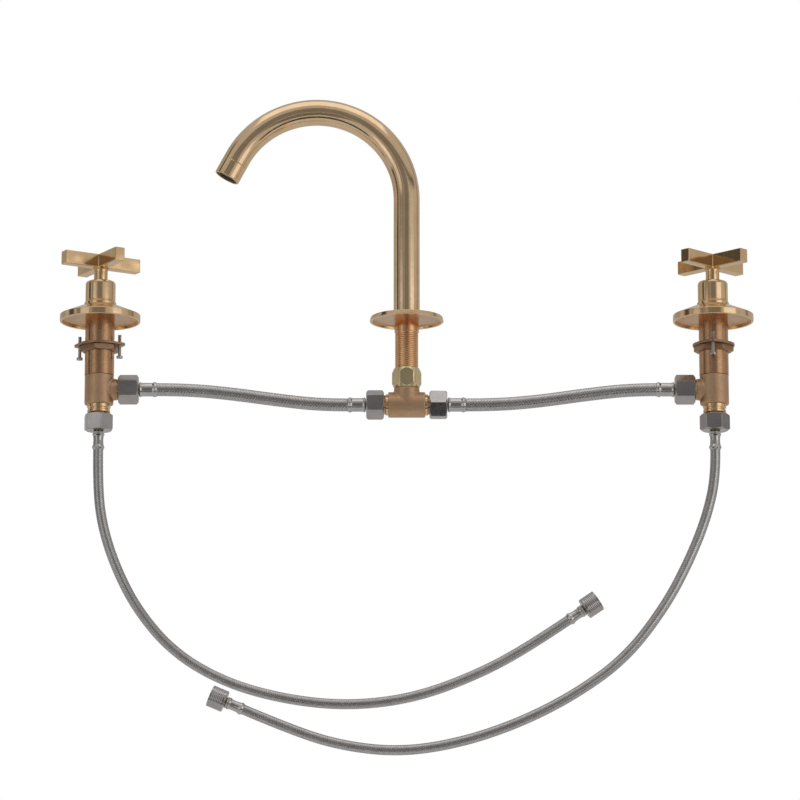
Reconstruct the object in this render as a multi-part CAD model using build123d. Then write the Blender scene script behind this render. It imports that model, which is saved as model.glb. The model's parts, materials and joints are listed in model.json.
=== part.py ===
from build123d import *
import math
import os

# Widespread basin mixer for a 3-hole deck: a swivel gooseneck spout and two quarter-turn
# valves, joined under the deck by two braided hoses, with two braided supply hoses.
# Millimetres. +Z is up, -Y is the user's side, and the origin is on the deck, on the
# spout's axis. Hot is on the left (-X), cold on the right (+X).

# ---- driving dimensions --------------------------------------------------------------
valve_offset = 257.0        # spout axis to each valve axis
thread_gap = 0.05           # between a plain thread and its nut
fit_gap = 0.1               # between close fitting round pieces of one unit
turn_gap = 0.3              # between a turning piece and a still one

spout_radius = 11.0
spout_wall = 1.5
stem_foot = 4.9
stem_top = 106.0
arch_radius = 76.0
arch_sweep = 152.0
tip_length = 19.0
collar_length = 14.0        # separate outlet collar at the end of the spout
collar_spigot = 6.0

spout_plate_radius = 31.0
spout_plate_height = 4.0
spout_plate_recess = 2.2
spigot_radius = spout_radius - spout_wall - 0.1
spigot_top = 34.0
set_screw_height = 9.2      # retaining screw of the spout
water_radius = 6.0
shank_radius = 9.75
shank_collar_radius = 10.2
shank_shoulder = -40.2
shank_end = -50.0
pipe_thread_radius = 8.3    # 3/8 in pipe thread
coupling_end = -57.0
nut_flats = 22.0

tee_height = -71.0
tee_radius = 10.7
tee_half_length = 15.5
tee_thread_end = 28.8

handle_bottom = 46.0
handle_height = 11.4
handle_reach = 35.0
handle_width = 9.0
neck_radius = 5.75
neck_bottom = 31.9
neck_flare = 44.4           # where the neck widens into the cross, and the end of its bore
grub_screw_height = 39.5
bonnet_radius = 12.6
bonnet_bottom = 14.0
bonnet_top = 34.6
valve_plate_radius = 33.75
valve_plate_rim = 5.6
barrel_radius = 12.3        # threaded barrel that passes through the deck
barrel_bore = 9.8
barrel_end = -46.0
casting_radius = 12.1
casting_end = -71.0
outlet_height = -58.0
outlet_radius = 9.0
outlet_thread_end = 28.0
inlet_thread_end = -88.0
riser_top = -24.0           # seat of the cartridge seal
backnut_top = -19.0
backnut_screw_radius = 17.3
jack_screw_radius = 1.5

tail_radius = 3.6
tail_bore = 2.4
supply_radius = 4.25
link_radius = 5.5
free_nut_radius = 9.0
free_thread_radius = 7.15   # 3/8 in compression thread
free_nut_reach = 8.5        # from the sealing face to the mouth of the nut
ring_count = 7              # finger rings of the free nut
ring_pitch = 1.45
ring_depth = 0.3
nut_overlap = 5.0           # a hose nut reaches this far past its sealing face
supply_ferrule_end = 21.3
link_ferrule_end = 20.7

# name, side of the spout, then the turns of the handle, back-nut, outlet nut and inlet nut
VALVES = [("hot", -1, -14.0, -12.0, 32.0, 17.0), ("cold", 1, 0.0, 84.0, 24.0, 6.0)]

# Hose centre lines, from the ferrule on the valve to the ferrule at the other end.
HOT_SUPPLY_ROUTE = [
    (-257, 0, -109.3), (-257, 0, -135), (-254, 2, -168), (-243.5, 5, -203), (-224, 9, -242),
    (-193, 12, -278), (-150, 13, -303), (-100, 12, -317), (-48, 11, -322.5), (6, 11, -316),
    (58, 12, -296.5), (100, 14, -273.5), (134, 14, -250.5),
]
COLD_SUPPLY_ROUTE = [
    (257, 0, -109.3), (257, 0, -132), (249, -2, -166), (234.5, -5, -202), (213.5, -9, -242),
    (180, -12, -286), (138, -14, -316.5), (92, -14, -340), (42, -12, -356.5), (-8, -10, -363.5),
    (-58, -8, -357), (-100, -7, -342.5), (-134, -7, -328),
]
HOT_LINK_ROUTE = [
    (-208.3, 0, -58), (-185, 0, -58), (-149, 0, -61.2), (-108, 0, -66.9), (-72, 0, -71),
    (-49.5, 0, -71),
]
COLD_LINK_ROUTE = [
    (208.3, 0, -58), (187, 0, -58), (150, 0, -62.2), (110, 0, -68), (74, 0, -71),
    (49.5, 0, -71),
]


# ---- helpers -------------------------------------------------------------------------
def turned(*outline):
    """Solid of revolution about Z from (radius, height) points."""
    return revolve(make_face(Plane.XZ * Polyline(*outline, close=True)), Axis.Z)


def tube(outer, inner, bottom, top):
    """Plain ring about Z."""
    return turned((inner, bottom), (outer, bottom), (outer, top), (inner, top))


def rod(radius, bottom, top):
    """Plain cylinder about Z."""
    return Pos(0, 0, bottom) * extrude(Circle(radius), top - bottom)


def hex_prism(flats, bottom, top, turn, crown):
    """Hexagon along Z whose corners are cut back by cones at both ends."""
    corner = flats / math.sqrt(3) + 0.2
    face = flats / 2 - 0.4
    hexagon = RegularPolygon(flats / 2, 6, major_radius=False, rotation=turn)
    prism = Pos(0, 0, bottom) * extrude(hexagon, top - bottom)
    cones = turned(
        (0, bottom), (face, bottom), (corner, bottom + crown), (corner, top - crown), (face, top), (0, top),
    )
    return prism & cones


def torus_ring(radius, section, height):
    """O-ring about Z."""
    return Pos(0, 0, height) * Torus(radius, section)


def turn_z(shape, degrees):
    return Rot(0, 0, degrees) * shape


# ---- spout ---------------------------------------------------------------------------
arch_angle = math.radians(arch_sweep)
arch_centre = Vector(-arch_radius, 0, stem_top)
tip_direction = Vector(-math.sin(arch_angle), 0, math.cos(arch_angle))
arch_end = arch_centre + Vector(arch_radius * math.cos(arch_angle), 0, arch_radius * math.sin(arch_angle))
outlet_centre = arch_end + tip_direction * tip_length
outlet_frame = Plane(origin=outlet_centre, x_dir=(0, 1, 0), z_dir=-tip_direction)


def spout_tube():
    """Stem, arch and short straight tip, with a hole for the retaining screw."""
    bore = spout_radius - spout_wall
    stem = tube(spout_radius, bore, stem_foot, stem_top)
    ring = Pos(0, 0, stem_top) * (Circle(spout_radius) - Circle(bore))
    arch = revolve(ring, Axis(tuple(arch_centre), (0, -1, 0)), revolution_arc=arch_sweep)
    tip = outlet_frame * tube(spout_radius, bore, collar_length, tip_length)
    screw_hole = Pos(0, spout_radius, set_screw_height) * Rot(90, 0, 0) * Cylinder(2.05, 6)
    return stem + arch + tip - screw_hole


def spout_set_screw():
    """Grub screw in the back of the stem, its tip in the groove of the spigot."""
    screw = rod(2.0, -1.3, 1.3) - rod(1.0, 0.2, 1.3)
    return Pos(0, 9.7, set_screw_height) * Rot(-90, 0, 0) * screw


def outlet_collar():
    """Outlet end of the spout: a spigot in the tube and a socket for the aerator."""
    spigot = spout_radius - spout_wall - thread_gap
    end = collar_length + collar_spigot
    return outlet_frame * turned(
        (9.4, 0), (10.7, 0), (spout_radius, 0.3), (spout_radius, collar_length), (spigot, collar_length),
        (spigot, end), (7.6, end), (7.6, 9.0), (9.4, 9.0),
    )


def aerator_housing():
    return outlet_frame * turned(
        (7.0, 1.0), (8.9, 1.0), (9.3, 1.4), (9.3, 7.6), (6.2, 7.6), (6.2, 6.4), (7.0, 6.4),
    )


def aerator_screen():
    """Honeycomb stream straightener that closes the aerator."""
    hole = 0.72
    pitch = 2.0
    disc = rod(6.95, 1.8, 6.3)
    rows = range(-3, 4)
    spots = [(pitch * (i + 0.5 * (j % 2)), pitch * j * math.sqrt(3) / 2) for i in rows for j in rows]
    holes = [Pos(x, y, 0) * rod(hole, 0, 8) for x, y in spots if math.hypot(x, y) < 5.6]
    return outlet_frame * (disc - holes)


def aerator_washer():
    return outlet_frame * tube(9.3, 6.4, 7.6, 9.0)


def spout_escutcheon():
    """Flat plate with a rounded rim and a recessed underside."""
    rim = spout_plate_radius
    hole = shank_collar_radius + thread_gap
    return turned(
        (hole, spout_plate_recess), (rim - 2.4, spout_plate_recess), (rim - 2.4, 0), (rim - 0.4, 0),
        (rim, 0.4), (rim, spout_plate_height - 1.2), (rim - 1.2, spout_plate_height),
        (hole, spout_plate_height),
    )


def spout_shank():
    """Threaded shank below the deck and the spigot that the spout turns on."""
    groove = 8.0
    ring_floor = 7.5
    return turned(
        (water_radius, shank_end), (pipe_thread_radius, shank_end), (pipe_thread_radius, shank_shoulder),
        (shank_radius, shank_shoulder), (shank_radius, -9.5), (shank_collar_radius, -9.0),
        (shank_collar_radius, 3.9), (spigot_radius, 3.9), (spigot_radius, 7.0), (groove, 7.0),
        (groove, 11.4), (spigot_radius, 11.4), (spigot_radius, 16.0), (ring_floor, 16.0),
        (ring_floor, 18.4), (spigot_radius, 18.4), (spigot_radius, 24.0), (ring_floor, 24.0),
        (ring_floor, 26.4), (spigot_radius, 26.4), (spigot_radius, spigot_top - 1.0),
        (spigot_radius - 0.8, spigot_top), (water_radius, spigot_top),
    )


def spout_o_rings():
    return Compound([torus_ring(8.42, 0.92, height) for height in (17.2, 25.2)])


def spout_glide_ring():
    return tube(10.8, spigot_radius + thread_gap, spout_plate_height, stem_foot - 0.1)


def coupling_nut():
    """Nut with heavily rounded corners between the shank and the tee."""
    body = hex_prism(nut_flats, coupling_end, shank_shoulder, 0.0, 4.2)
    return body - rod(pipe_thread_radius + thread_gap, coupling_end, shank_shoulder)


def coupling_washer():
    return tube(7.9, water_radius, shank_end - 1.4, shank_end)


def tee_body():
    """Cast tee: spout branch on top, a threaded end to each side."""
    branch = rod(tee_radius, tee_height, coupling_end)
    spigot = rod(pipe_thread_radius, coupling_end, shank_end - 1.4)
    half = turned(
        (0, 0), (tee_radius, 0), (tee_radius, tee_half_length - 0.5), (tee_radius - 0.5, tee_half_length),
        (8.9, tee_half_length), (8.9, tee_half_length + 1.8), (pipe_thread_radius, tee_half_length + 2.2),
        (pipe_thread_radius, tee_thread_end), (0, tee_thread_end),
    )
    run = [Pos(0, 0, tee_height) * Rot(0, side * 90, 0) * half for side in (-1, 1)]
    bore = 5.5
    across = Pos(0, 0, tee_height) * Rot(0, 90, 0) * rod(bore, -tee_thread_end, tee_thread_end)
    return branch + spigot + run - across - rod(bore, tee_height, 0)


# ---- valve units, each about its own axis, outlet towards +X --------------------------
def valve_casting():
    """Cast body: barrel socket, side outlet, threaded inlet and the riser to the cartridge."""
    outer = turned(
        (0, barrel_end), (casting_radius, barrel_end), (casting_radius, casting_end + 1.0),
        (casting_radius - 1.0, casting_end), (9.8, casting_end), (9.8, -73.6), (9.0, -74.2), (9.0, -75.2),
        (9.6, -75.8), (9.6, -77.6), (pipe_thread_radius, -78.4), (pipe_thread_radius, inlet_thread_end),
        (0, inlet_thread_end),
    )
    branch = turned(
        (0, 0), (outlet_radius, 0), (outlet_radius, 15.2), (pipe_thread_radius, 15.8),
        (pipe_thread_radius, outlet_thread_end), (0, outlet_thread_end),
    )
    outlet = Pos(0, 0, outlet_height) * Rot(0, 90, 0) * branch
    chamber = rod(9.0, -64.0, barrel_end) + rod(11.2, barrel_end - 6.0, barrel_end)
    side_bore = Pos(0, 0, outlet_height) * Rot(0, 90, 0) * rod(5.5, 0, outlet_thread_end)
    riser = tube(6.0, 4.2, -66.0, riser_top)
    return outer + outlet - chamber - side_bore - rod(4.2, inlet_thread_end, -60.0) + riser


def valve_barrel():
    """Threaded barrel: plain below, a neck on top that the bonnet screws on."""
    return turned(
        (9.0, barrel_end - 6.0), (11.15, barrel_end - 6.0), (11.15, barrel_end), (barrel_radius, barrel_end),
        (barrel_radius, bonnet_bottom - 0.1), (10.8, bonnet_bottom - 0.1), (10.8, 24.0), (barrel_bore, 24.0),
        (barrel_bore, -30.0), (9.0, -32.0),
    )


def valve_escutcheon():
    """Conical plate with an upright rim, hollow underneath."""
    rim = valve_plate_radius
    hole = barrel_radius + fit_gap
    return turned(
        (hole, 11.2), (rim - 2.4, 3.4), (rim - 2.0, 0), (rim - 0.4, 0), (rim, 0.4), (rim, valve_plate_rim),
        (13.8, bonnet_bottom), (hole, bonnet_bottom),
    )


def valve_bonnet():
    """Domed cap with a lip at its foot that holds the escutcheon down."""
    cap = turned(
        (0, bonnet_bottom), (13.4, bonnet_bottom), (13.4, 16.4), (12.9, 16.9), (12.2, 16.9), (12.2, 17.5),
        (bonnet_radius, 17.9), (bonnet_radius, bonnet_top), (0, bonnet_top),
    )
    cap = fillet(cap.edges().sort_by(Axis.Z)[-1], 3.0)
    cavity = rod(10.85, bonnet_bottom, 31.6)
    return cap - cavity - rod(neck_radius + turn_gap, bonnet_bottom, bonnet_top)


def cartridge_body():
    """Housing of the quarter-turn cartridge, with two windows for the water."""
    housing = turned(
        (7.8, -22.0), (8.6, -22.0), (8.6, -2.0), (9.7, -1.0), (9.7, 24.0), (10.7, 24.0), (10.7, 26.0),
        (7.2, 26.0), (7.2, 31.0), (4.05, 31.0), (4.05, -8.0), (7.8, -8.0),
    )
    return housing - Pos(0, 0, -10.0) * Box(20, 7, 3.2)


def spindle():
    """Stem with two ring grooves, a drive plate below and a splined head."""
    stem = turned(
        (0, -12.0), (7.6, -12.0), (7.6, -8.1), (4.0, -8.1), (4.0, 15.4), (2.9, 15.4), (2.9, 16.6),
        (4.0, 16.6), (4.0, 19.4), (2.9, 19.4), (2.9, 20.6), (4.0, 20.6), (4.0, 31.6), (3.8, 31.6),
        (3.8, 44.0), (0, 44.0),
    )
    passages = [turn_z(Pos(6.6, 0, -10.0) * Box(6, 6, 3.2), turn) for turn in (0, 180)]
    return stem - passages


def ceramic_disc(bottom, top, radius):
    """Ceramic disc with two facing ports."""
    port = rod(1.9, bottom, top)
    return rod(radius, bottom, top) - [Pos(x, 0, 0) * port for x in (-4.2, 4.2)]


def spindle_o_rings():
    return Compound([torus_ring(3.45, 0.52, height) for height in (16.0, 20.0)])


def cross_handle():
    """Four square arms on a round neck that fits over the spindle."""
    arm = Box(2 * handle_reach, handle_width, handle_height)
    cross = Pos(0, 0, handle_bottom + handle_height / 2) * (arm + turn_z(arm, 90))
    inner = cross.edges().filter_by(Axis.Z).filter_by(lambda edge: abs(edge.center().X) < handle_width)
    cross = fillet(inner, 0.8)
    neck = turned(
        (0, neck_bottom), (neck_radius, neck_bottom), (neck_radius, neck_flare), (6.6, handle_bottom),
        (0, handle_bottom),
    )
    screw_hole = Pos(0, neck_radius, grub_screw_height) * Rot(90, 0, 0) * Cylinder(1.55, 5)
    return cross + neck - rod(3.85, neck_bottom, neck_flare) - screw_hole


def handle_set_screw():
    """Grub screw in the neck that grips the spindle."""
    screw = rod(1.5, -0.85, 0.85) - rod(0.7, 0.1, 0.85)
    return Pos(0, 4.75, grub_screw_height) * Rot(-90, 0, 0) * screw


def lugged_backnut():
    """Back-nut with a thin two-lug flange and a hexagon below it."""
    lugs = [Pos(x, 0) * Circle(4.6) for x in (-backnut_screw_radius, backnut_screw_radius)]
    outline = make_hull((Sketch() + [Circle(17.6)] + lugs).edges())
    flange = Pos(0, 0, backnut_top - 2.0) * extrude(outline, 2.0)
    boss = hex_prism(29.0, backnut_top - 7.0, backnut_top - 2.0, 30.0, 0.8)
    screw_hole = rod(jack_screw_radius + thread_gap, backnut_top - 2.0, backnut_top)
    holes = [Pos(x, 0, 0) * screw_hole for x in (-backnut_screw_radius, backnut_screw_radius)]
    return flange + boss - rod(barrel_radius + thread_gap, backnut_top - 7.0, backnut_top) - holes


def jack_screws():
    """Two screws that press the clamping washer against the underside of the deck."""
    screw = rod(jack_screw_radius, -30.0, -12.0) + rod(2.6, -32.0, -30.0)
    screw = screw - Pos(0, 0, -31.6) * Box(6, 0.8, 0.8)
    return Compound([Pos(x, 0, 0) * screw for x in (-backnut_screw_radius, backnut_screw_radius)])


# ---- hose ends, each in its own frame: origin on the sealing face, +Z along the hose --
def hose_nut(grip, turn):
    """Hexagon nut that reaches 'grip' back over the male thread."""
    body = hex_prism(nut_flats, -grip, nut_overlap, turn, 1.6)
    bore = rod(pipe_thread_radius + thread_gap, -grip, nut_overlap - 1.8)
    return body - bore - rod(tail_radius + 0.5, 0, nut_overlap)


def free_nut():
    """Round nut with finger rings, on the free end of a supply hose, its mouth at the bottom."""
    hole = tail_radius + 0.5
    relief = free_thread_radius - 0.2
    outer = free_nut_radius
    rings = []
    for i in range(ring_count):
        start = 1.5 - free_nut_reach + ring_pitch * i
        rings += [(outer, start), (outer - ring_depth, start + 0.5), (outer, start + 1.0)]
    return turned(
        (free_thread_radius, -free_nut_reach), (outer - 0.6, -free_nut_reach), (outer, 0.6 - free_nut_reach),
        *rings, (outer, nut_overlap - 1.0), (outer - 1.0, nut_overlap), (hole, nut_overlap),
        (hole, nut_overlap - 1.8), (relief, nut_overlap - 1.8), (relief, -turn_gap),
        (free_thread_radius, -turn_gap),
    )


def hose_tail(end):
    """Flanged tube that the hose is crimped on."""
    return turned(
        (tail_bore, 1.4), (6.6, 1.4), (6.6, 2.9), (tail_radius, 2.9), (tail_radius, end), (tail_bore, end),
    )


def hose_washer():
    return tube(6.6, 4.4, 0, 1.4)


def ferrule(radius, start, end):
    """Crimped sleeve with two beads beside the nut and one at the hose's end."""
    bead = radius + 0.9
    bore = tail_radius
    return turned(
        (bore, start), (radius - 0.3, start), (bead, start + 0.9), (bead, start + 1.5), (radius, start + 2.2),
        (bead, start + 2.9), (bead, start + 3.5), (radius, start + 4.4), (radius, end - 3.6),
        (bead, end - 2.4), (bead, end - 1.2), (radius, end), (bore, end),
    )


def hose_tube(name, route, radius):
    """Hose as straight runs joined by the largest arcs that the runs allow."""
    points = [Vector(*point) for point in route]
    runs = [after - before for before, after in zip(points, points[1:])]
    radii = []
    for before, after in zip(runs, runs[1:]):
        half_turn = math.radians(before.get_angle(after)) / 2
        radii.append(0.45 * min(before.length, after.length) / math.tan(half_turn))
    path = FilletPolyline(*points, radius=radii)
    section = Plane(origin=points[0], z_dir=runs[0]) * Circle(radius)
    solid = sweep(section, path=path)
    expected = math.pi * radius ** 2 * path.length
    print(f"{name}: length {path.length:.1f}, volume/expected {solid.volume / expected:.4f}, radii",
          [round(value) for value in radii])
    return solid


def end_frame(route, back):
    """Frame of the hose end past the last point of a route, +Z pointing back along the hose."""
    last = Vector(*route[-1])
    along = (last - Vector(*route[-2])).normalized()
    return Plane(origin=last + along * back, z_dir=-along)


# ---- the whole mixer -----------------------------------------------------------------
def spout_unit():
    return {
        "spout_tube": spout_tube(),
        "spout_set_screw": spout_set_screw(),
        "outlet_collar": outlet_collar(),
        "aerator_housing": aerator_housing(),
        "aerator_screen": aerator_screen(),
        "aerator_washer": aerator_washer(),
        "spout_escutcheon": spout_escutcheon(),
        "spout_shank": spout_shank(),
        "spout_o_rings": spout_o_rings(),
        "spout_glide_ring": spout_glide_ring(),
        "coupling_nut": coupling_nut(),
        "coupling_washer": coupling_washer(),
        "tee_body": tee_body(),
    }


def valve_unit(name, side, handle_turn, backnut_turn, outlet_turn, inlet_turn):
    """All the pieces of one valve, standing on its own place on the deck."""
    to_spout = 0 if side < 0 else 180
    outlet_face = Plane(origin=(outlet_thread_end, 0, outlet_height), x_dir=(0, 1, 0), z_dir=(1, 0, 0))
    inlet_face = Plane(origin=(0, 0, inlet_thread_end), x_dir=(1, 0, 0), z_dir=(0, 0, -1))
    pieces = {
        "valve_casting": turn_z(valve_casting(), to_spout),
        "valve_barrel": valve_barrel(),
        "escutcheon": valve_escutcheon(),
        "bonnet": valve_bonnet(),
        "cartridge_body": cartridge_body(),
        "spindle": turn_z(spindle(), handle_turn + 45),
        "moving_disc": turn_z(ceramic_disc(-15.0, -12.0, 7.6), handle_turn + 45),
        "fixed_disc": ceramic_disc(-18.05, -15.05, 7.6),
        "disc_seal": tube(7.6, 4.4, riser_top, -18.05),
        "spindle_o_rings": spindle_o_rings(),
        "cross_handle": turn_z(cross_handle(), handle_turn + 45),
        "handle_set_screw": turn_z(handle_set_screw(), handle_turn + 45),
        "lugged_backnut": turn_z(lugged_backnut(), backnut_turn),
        "jack_screws": turn_z(jack_screws(), backnut_turn),
        "outlet_nut": turn_z(outlet_face * hose_nut(12.0, outlet_turn), to_spout),
        "inlet_nut": inlet_face * hose_nut(9.0, inlet_turn),
    }
    return {f"{name}_{key}": Pos(side * valve_offset, 0, 0) * piece for key, piece in pieces.items()}


def link_hoses():
    """The two hoses from the valve outlets to the tee, with their nuts on the tee."""
    pieces = {}
    nuts = []
    tails = []
    washers = []
    for name, side, route in (("hot", -1, HOT_LINK_ROUTE), ("cold", 1, COLD_LINK_ROUTE)):
        outward = (side, 0, 0)
        at_tee = Plane(origin=(side * tee_thread_end, 0, tee_height), x_dir=(0, 1, 0), z_dir=outward)
        valve_face = side * (valve_offset - outlet_thread_end)
        at_valve = Plane(origin=(valve_face, 0, outlet_height), x_dir=(0, 1, 0), z_dir=(-side, 0, 0))
        pieces[f"{name}_link_hose"] = hose_tube(f"{name} link", route, link_radius)
        sleeve = ferrule(link_radius + 0.2, nut_overlap + turn_gap, link_ferrule_end)
        pieces[f"{name}_link_ferrules"] = Compound([at_tee * sleeve, at_valve * sleeve])
        nuts.append(at_tee * hose_nut(9.8, 30.0 if side < 0 else 2.0))
        tails += [at_tee * hose_tail(link_ferrule_end), at_valve * hose_tail(link_ferrule_end)]
        washers += [at_tee * hose_washer(), at_valve * hose_washer()]
    pieces["tee_nuts"] = Compound(nuts)
    pieces["link_hose_tails"] = Compound(tails)
    return pieces, washers


def supply_hoses():
    """The two supply hoses, each with a round nut turning on its free end."""
    pieces = {}
    tails = []
    washers = []
    for name, side, route in (("hot", -1, HOT_SUPPLY_ROUTE), ("cold", 1, COLD_SUPPLY_ROUTE)):
        at_valve = Plane(origin=(side * valve_offset, 0, inlet_thread_end), x_dir=(1, 0, 0), z_dir=(0, 0, -1))
        at_end = end_frame(route, supply_ferrule_end)
        pieces[f"{name}_supply_hose"] = hose_tube(f"{name} supply", route, supply_radius)
        sleeve = ferrule(supply_radius + 0.2, nut_overlap + turn_gap, supply_ferrule_end)
        pieces[f"{name}_supply_ferrules"] = Compound([at_valve * sleeve, at_end * sleeve])
        pieces[f"{name}_free_nut"] = at_end * free_nut()
        tails += [at_valve * hose_tail(supply_ferrule_end), at_end * hose_tail(supply_ferrule_end)]
        washers += [at_valve * hose_washer(), at_end * hose_washer()]
        mouth = at_end.origin - at_end.z_dir * free_nut_reach
        print(f"{name} free nut: mouth", tuple(mouth), "outward", tuple(-at_end.z_dir))
    pieces["supply_hose_tails"] = Compound(tails)
    return pieces, washers


def build():
    pieces = spout_unit()
    for valve in VALVES:
        pieces.update(valve_unit(*valve))
    links, link_washers = link_hoses()
    supplies, supply_washers = supply_hoses()
    pieces.update(links)
    pieces.update(supplies)
    pieces["hose_washers"] = Compound(link_washers + supply_washers)
    return pieces


os.makedirs("parts", exist_ok=True)
for node, piece in build().items():
    export_step(piece, f"parts/{node}.step")
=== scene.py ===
import json
import math
import bmesh
import bpy
import numpy as np
from mathutils import Matrix, Vector

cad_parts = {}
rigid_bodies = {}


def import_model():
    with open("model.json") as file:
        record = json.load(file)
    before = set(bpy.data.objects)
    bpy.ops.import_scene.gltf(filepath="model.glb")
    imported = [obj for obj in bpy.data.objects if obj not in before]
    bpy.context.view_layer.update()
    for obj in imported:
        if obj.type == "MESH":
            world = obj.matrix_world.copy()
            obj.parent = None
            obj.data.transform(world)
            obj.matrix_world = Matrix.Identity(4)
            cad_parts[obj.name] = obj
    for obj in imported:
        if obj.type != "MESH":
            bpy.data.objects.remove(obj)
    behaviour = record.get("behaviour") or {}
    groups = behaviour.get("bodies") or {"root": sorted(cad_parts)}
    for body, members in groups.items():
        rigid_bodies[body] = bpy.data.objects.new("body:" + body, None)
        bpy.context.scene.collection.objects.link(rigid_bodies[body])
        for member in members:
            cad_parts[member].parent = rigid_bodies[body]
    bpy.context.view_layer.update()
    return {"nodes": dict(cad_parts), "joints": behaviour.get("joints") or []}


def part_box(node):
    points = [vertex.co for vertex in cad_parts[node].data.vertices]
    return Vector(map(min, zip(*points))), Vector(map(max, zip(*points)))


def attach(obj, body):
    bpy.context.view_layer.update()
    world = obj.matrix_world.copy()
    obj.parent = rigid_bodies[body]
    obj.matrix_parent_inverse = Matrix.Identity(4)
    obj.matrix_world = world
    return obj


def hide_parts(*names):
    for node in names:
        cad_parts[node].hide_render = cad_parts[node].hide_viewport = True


for leftover in list(bpy.data.objects):
    bpy.data.objects.remove(leftover)
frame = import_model()

# Shapes are worked out in millimetres about their own axis and scaled once, in add_piece.
MM = 0.001
FULL_TURN = 2 * math.pi

# ---- the CAD model's driving dimensions, in millimetres --------------------------------
SPOUT_RADIUS = 11.0
SPOUT_BORE = 9.5
STEM_FOOT = 4.9
STEM_TOP = 106.0
ARCH_RADIUS = 76.0
ARCH_SWEEP = math.radians(152.0)
TIP_LENGTH = 19.0
COLLAR_LENGTH = 14.0
PIPE_THREAD = 8.3
NUT_FLATS = 22.0
TEE_HEIGHT = -71.0
OUTLET_HEIGHT = -58.0
TAIL_RADIUS = 3.6
SUPPLY_RADIUS = 4.25
LINK_RADIUS = 5.5
SUPPLY_FERRULE_END = 21.3
LINK_FERRULE_END = 20.7
FERRULE_START = 5.3
NUT_OVERLAP = 5.0
LUG_CENTRE = 17.3

# Hose centre lines, from the ferrule on the valve to the ferrule at the other end.
ROUTES = {
    "hot_supply": [
        (-257, 0, -109.3), (-257, 0, -135), (-254, 2, -168), (-243.5, 5, -203), (-224, 9, -242),
        (-193, 12, -278), (-150, 13, -303), (-100, 12, -317), (-48, 11, -322.5), (6, 11, -316),
        (58, 12, -296.5), (100, 14, -273.5), (134, 14, -250.5),
    ],
    "cold_supply": [
        (257, 0, -109.3), (257, 0, -132), (249, -2, -166), (234.5, -5, -202), (213.5, -9, -242),
        (180, -12, -286), (138, -14, -316.5), (92, -14, -340), (42, -12, -356.5), (-8, -10, -363.5),
        (-58, -8, -357), (-100, -7, -342.5), (-134, -7, -328),
    ],
    "hot_link": [
        (-208.3, 0, -58), (-185, 0, -58), (-149, 0, -61.2), (-108, 0, -66.9), (-72, 0, -71),
        (-49.5, 0, -71),
    ],
    "cold_link": [
        (208.3, 0, -58), (187, 0, -58), (150, 0, -62.2), (110, 0, -68), (74, 0, -71),
        (49.5, 0, -71),
    ],
}

# Side of the spout that each valve is on, and how far its handle, back-nut and hose nuts are
# turned, in degrees.
VALVES = {
    "hot": dict(side=-1, handle=-14.0, backnut=-12.0, outlet=32.0, inlet=17.0, tee=30.0),
    "cold": dict(side=1, handle=0.0, backnut=84.0, outlet=24.0, inlet=6.0, tee=2.0),
}


# ---- materials -------------------------------------------------------------------------
def link_or_set(tree, socket, value):
    if isinstance(value, bpy.types.NodeSocket):
        tree.links.new(value, socket)
    elif isinstance(value, tuple) and len(value) == 3 and socket.type == "RGBA":
        socket.default_value = (*value, 1.0)
    else:
        socket.default_value = value


def add_node(tree, kind, inputs=None, **properties):
    """A node with its properties set and its inputs, by name or index, linked or set."""
    node = tree.nodes.new("ShaderNode" + kind)
    for key, value in properties.items():
        setattr(node, key, value)
    for key, value in (inputs or {}).items():
        link_or_set(tree, node.inputs[key], value)
    return node


def maths(tree, operation, *values):
    return add_node(tree, "Math", dict(enumerate(values)), operation=operation).outputs[0]


def weighted(tree, first, first_share, second, second_share):
    part = maths(tree, "MULTIPLY", second, second_share)
    return maths(tree, "MULTIPLY_ADD", first, first_share, part)


def ramp(tree, factor, low, high, to_low=0.0, to_high=1.0):
    """Factor from low..high to to_low..to_high, clamped and eased."""
    inputs = {"Value": factor, "From Min": low, "From Max": high, "To Min": to_low, "To Max": to_high}
    return add_node(tree, "MapRange", inputs, interpolation_type="SMOOTHSTEP").outputs[0]


def blend_colour(tree, factor, first, second):
    node = add_node(tree, "Mix", data_type="RGBA")
    link_or_set(tree, node.inputs[0], factor)
    link_or_set(tree, node.inputs[6], first)
    link_or_set(tree, node.inputs[7], second)
    return node.outputs[2]


def coordinates(tree, local):
    """Millimetres about the piece's own axis, or about the origin for a CAD node."""
    if local:
        return add_node(tree, "Attribute", attribute_name="local").outputs["Vector"]
    place = add_node(tree, "TexCoord").outputs["Object"]
    scale = add_node(tree, "VectorMath", {0: place}, operation="SCALE")
    scale.inputs["Scale"].default_value = 1000.0
    return scale.outputs[0]


def noise(tree, place, scale, detail=4.0, stretch=(1, 1, 1)):
    spot = add_node(tree, "VectorMath", {0: place, 1: stretch}, operation="MULTIPLY").outputs[0]
    inputs = {"Vector": spot, "Scale": scale, "Detail": detail, "Roughness": 0.6}
    return add_node(tree, "TexNoise", inputs).outputs[0]


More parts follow.
